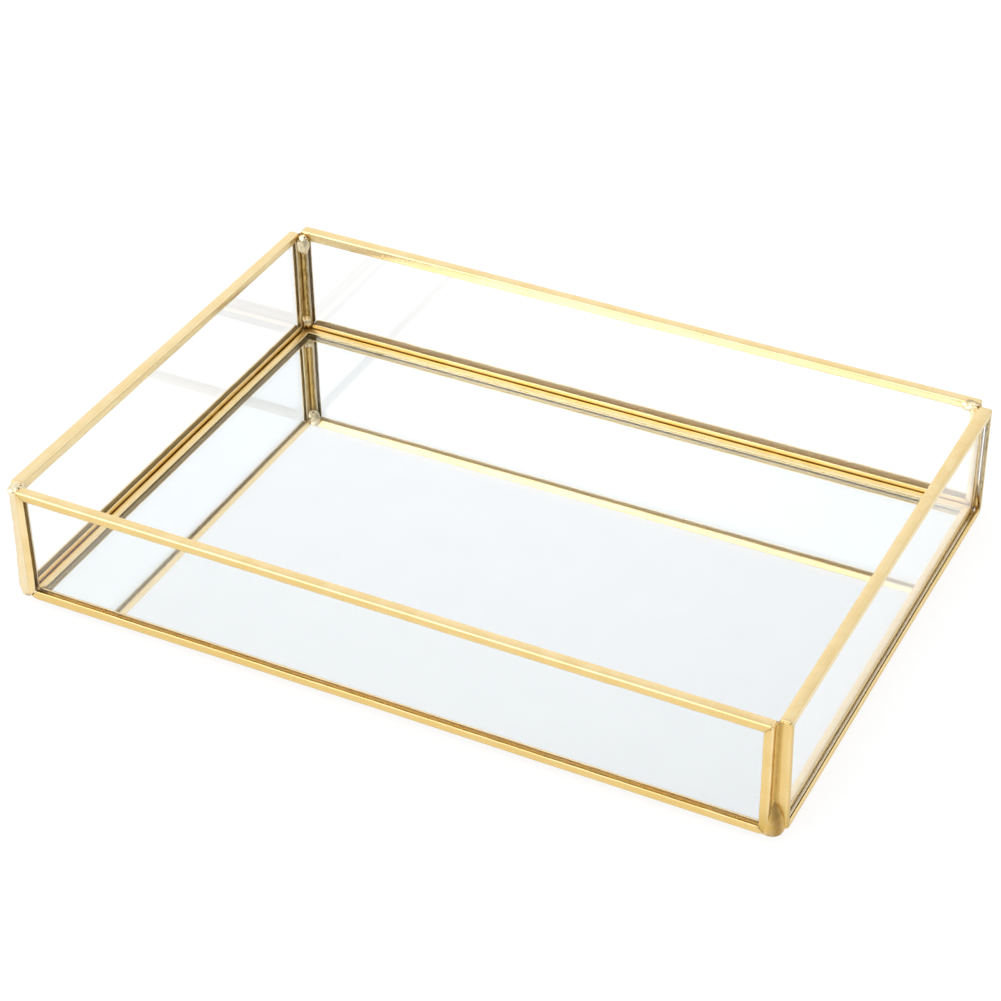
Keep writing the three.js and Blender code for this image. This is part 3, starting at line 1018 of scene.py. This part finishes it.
def corner_top_bead(corner, material):
    """The lump of solder at the top of a corner, with a few flux pits."""
    frame_matrix = corner_frame(corner)
    seed = 5.9 + 4.3 * list(BEADS).index(corner)
    middle, radii = BEADS[corner]
    centre = Vector(middle) * MM + Z * RIM
    radii = Vector(radii) * MM
    pits = [Vector(way).normalized() for way in PITS[corner]]
    lumpy, paleness = (2.0, 0.6) if corner == "back_right" else (1.0, 0.85)
    rim_grime = 0.0 if corner == "front_left" else 0.5
    shape = bmesh.new()
    bmesh.ops.create_icosphere(shape, subdivisions=5, radius=1.0)
    vertices, darkenings, pales = [], [], []
    for vertex in shape.verts:
        unit = vertex.co.normalized()
        square = sum(abs(part) ** BEAD_POWER for part in unit) ** (-1 / BEAD_POWER)
        large, fine = (unit * many for _, many in BEAD_LUMPS)
        swell = 1 + BEAD_LUMPS[0][0] * lumpy * wander(large.x, large.y, large.z + seed)
        swell += BEAD_LUMPS[1][0] * lumpy * wander(fine.x, fine.y + seed, fine.z)
        place = unit * square * BEAD_FULLNESS * swell
        place = Vector(place[i] * radii[i] for i in range(3))
        near = 0.0
        for pit in pits:
            apart = Vector((unit[i] - pit[i]) * radii[i] for i in range(3)).length
            near = max(near, 1 - smooth(0.35 * PIT_RADIUS, PIT_RADIUS, apart))
        place -= unit * PIT_DEPTH * near
        vertices.append(frame_matrix @ (centre + place))
        rim = smooth(*BEAD_RIM, -min((centre + place).x, (centre + place).y))
        darkenings.append(min(near + rim_grime * rim, 1.0))
        pales.append(paleness)
    faces = [tuple(v.index for v in face.verts) for face in shape.faces]
    shape.free()
    node = f"corner_top_bead_{corner}"
    points = {"grime": darkenings, "pale": pales}
    return add_piece(f"{node}_lump", material, [node], vertices, faces, points=points)


BASE_SEAM_END = 4 * MM  # left free of solder, both ends together
BASE_SEAM_STEP = 0.8 * MM
BASE_SEAM_DEPTH, BASE_SEAM_ROOT = 0.90 * MM, 1.3 * MM  # its top and foot, below the base's top
BASE_SEAM_WIDTH, BASE_SEAM_SINK = 0.40 * MM, 0.2 * MM
BASE_SEAM_CREST = (0.1 * MM, 0.05 * MM)  # in from the panel, and below its top
TACK_HEIGHT, TACK_WIDTH = 0.55 * MM, 0.15 * MM  # how much higher and wider a tack is
TACKED, TACK_SPAN = (0.45, 0.8), 9 * MM
RIPPLE, RIPPLE_SPAN = 0.04 * MM, 1.4 * MM


def base_seam(panel, material):
    """Solder deep in the groove between the base and an upright panel, higher at a few tacks."""
    seed = 17.0 + PANELS.index(panel) * 2.3
    length = panel.length - BASE_SEAM_END
    rings = round(length / BASE_SEAM_STEP)
    inner = CORNER_Y if panel.name in ("front", "back") else CORNER_X
    low = BASE_TOP - BASE_SEAM_ROOT
    vertices, darkenings = [], []
    for ring in range(rings + 1):
        s = -length / 2 + length * ring / rings
        tack = smooth(*TACKED, wander(s / TACK_SPAN, seed, 0.0))
        ripple = RIPPLE * wander(s / RIPPLE_SPAN, seed, 2.0)
        top = BASE_TOP - BASE_SEAM_DEPTH + TACK_HEIGHT * tack + ripple
        width = BASE_SEAM_WIDTH + TACK_WIDTH * tack
        back = -BASE_SEAM_SINK
        crest = (BASE_SEAM_CREST[0], top - BASE_SEAM_CREST[1])
        for inward, z in ((back, low), (back, top), crest, (width, top), (width, low)):
            place = panel.out * (inner - inward) + panel.along * s
            vertices.append(Vector((place.x, place.y, z)))
            # painted shade deep in the groove, lighter where a tack stands higher
            darkenings.append(1.0 - 0.5 * tack)
    faces = tube_faces(rings + 1, 5)
    node = f"base_seam_{panel.name}"
    points = {"grime": darkenings, "pale": [0.0] * len(darkenings)}
    return add_piece(f"{node}_solder", material, [node], vertices, faces, points=points)


# ---------------------------------------------------------------- studio


# The sky's bright parts: direction, where its glow starts and is full as a cosine, strength
LIGHTS = {
    "softbox": ((-0.55, -0.68, 0.48), 0.88, 0.985, 1.4),
    "window": ((0.72, -0.455, 0.522), 0.93, 1.0, 2.2),
    "key": ((-0.50, -0.64, 0.58), 0.20, 0.98, 0.85),
    "fill": ((-0.46, 0.83, 0.31), 0.72, 1.0, 0.55),
    "rear": ((0.49, 0.67, 0.56), 0.85, 1.0, 0.8),
}
AMBIENT = 0.62
SHADE = ((0.65, -0.75, -0.10), 0.45, 0.95, 0.75)  # a part that is darker, by a share
SKY_COLOUR = (0.985, 0.995, 1.0, 1.0)


def studio():
    """Soft light from a smooth sky, brighter in a few directions."""
    world = bpy.data.worlds.new("studio")
    bpy.context.scene.world = world
    world.use_nodes = True
    tree = world.node_tree
    tree.nodes.clear()

    def add(kind, **settings):
        node = tree.nodes.new(kind)
        for key, value in settings.items():
            setattr(node, key, value)
        return node

    def combined(operation, first, second):
        node = add("ShaderNodeMath", operation=operation)
        for socket, value in zip(node.inputs, (first, second)):
            if isinstance(value, float):
                socket.default_value = value
            else:
                tree.links.new(value, socket)
        return node.outputs["Value"]

    def lobe(direction, low, high, amount):
        """0 away from a direction, rising smoothly to amount as the sky turns towards it."""
        dot = add("ShaderNodeVectorMath", operation="DOT_PRODUCT")
        tree.links.new(sky.outputs["Generated"], dot.inputs[0])
        dot.inputs[1].default_value = Vector(direction).normalized()
        spread = add("ShaderNodeMapRange", interpolation_type="SMOOTHSTEP")
        tree.links.new(dot.outputs["Value"], spread.inputs["Value"])
        ends = {"From Min": low, "From Max": high, "To Min": 0.0, "To Max": amount}
        for key, value in ends.items():
            spread.inputs[key].default_value = value
        return spread.outputs["Result"]

    sky = add("ShaderNodeTexCoord")
    lit = AMBIENT
    for light in LIGHTS.values():
        lit = combined("ADD", lobe(*light), lit)
    strength = combined("MULTIPLY", lit, combined("SUBTRACT", 1.0, lobe(*SHADE)))
    background = add("ShaderNodeBackground")
    background.inputs["Color"].default_value = SKY_COLOUR
    tree.links.new(strength, background.inputs["Strength"])
    output = add("ShaderNodeOutputWorld")
    tree.links.new(background.outputs["Background"], output.inputs["Surface"])


FLOOR_SIZE = 8.0
FLOOR_DROP = 0.05 * MM  # below the tray, so that the two never share a plane


def floor():
    """A wide sweep just below the tray."""
    bpy.ops.mesh.primitive_plane_add(size=FLOOR_SIZE, location=(0, 0, -FLOOR_DROP))
    ground = bpy.context.object
    ground.name = "floor"
    ground.data.materials.append(floor_paint())


def camera():
    """The photo's angle of view: from above, in front and to the right."""
    back = Vector((
        math.sin(CAMERA_AZIMUTH) * math.cos(CAMERA_ELEVATION),
        -math.cos(CAMERA_AZIMUTH) * math.cos(CAMERA_ELEVATION),
        math.sin(CAMERA_ELEVATION),
    ))
    right = Z.cross(back).normalized()
    up = back.cross(right)
    cos, sin = math.cos(CAMERA_ROLL), math.sin(CAMERA_ROLL)
    data = bpy.data.cameras.new("camera")
    data.lens = CAMERA_LENS
    data.sensor_width = CAMERA_SENSOR
    data.clip_start, data.clip_end = CAMERA_CLIP
    eye = bpy.data.objects.new("camera", data)
    turned_right = right * cos + up * sin
    turned_up = up * cos - right * sin
    axes = Matrix((turned_right, turned_up, back)).transposed().to_4x4()
    eye.matrix_world = Matrix.Translation(CAMERA_PLACE) @ axes
    bpy.context.scene.collection.objects.link(eye)
    bpy.context.scene.camera = eye


# ---------------------------------------------------------------- the scene

camera()
studio()
floor()

view = bpy.context.scene.view_settings
view.view_transform = "Standard"
cycles = bpy.context.scene.cycles
cycles.max_bounces = 24
cycles.glossy_bounces = 10
cycles.transmission_bounces = 20

brass = brass_channel()
joint = solder()
clear = clear_glass()
mirror = mirror_glass()

for panel in PANELS:
    for bar in panel.bars():
        channel_bar(panel, *bar, brass)
for panel in PANELS[:4]:
    pane(panel, f"{panel.name}_pane", -GLASS / 2, GLASS / 2, clear)
    base_seam(panel, joint)

base = PANELS[-1]
middle = base.origin.z
glass_low, glass_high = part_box("base_mirror_glass")
pane(base, "base_mirror_glass", glass_low.z - middle, glass_high.z - middle, mirror)
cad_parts["base_silvering"].data.materials[0] = silvering()
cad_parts["base_backing_paint"].data.materials[0] = backing_paint()

for corner in CORNERS:
    corner_seam(corner, joint)
    corner_fill(corner, joint)
for corner in BEADS:
    corner_top_bead(corner, joint)
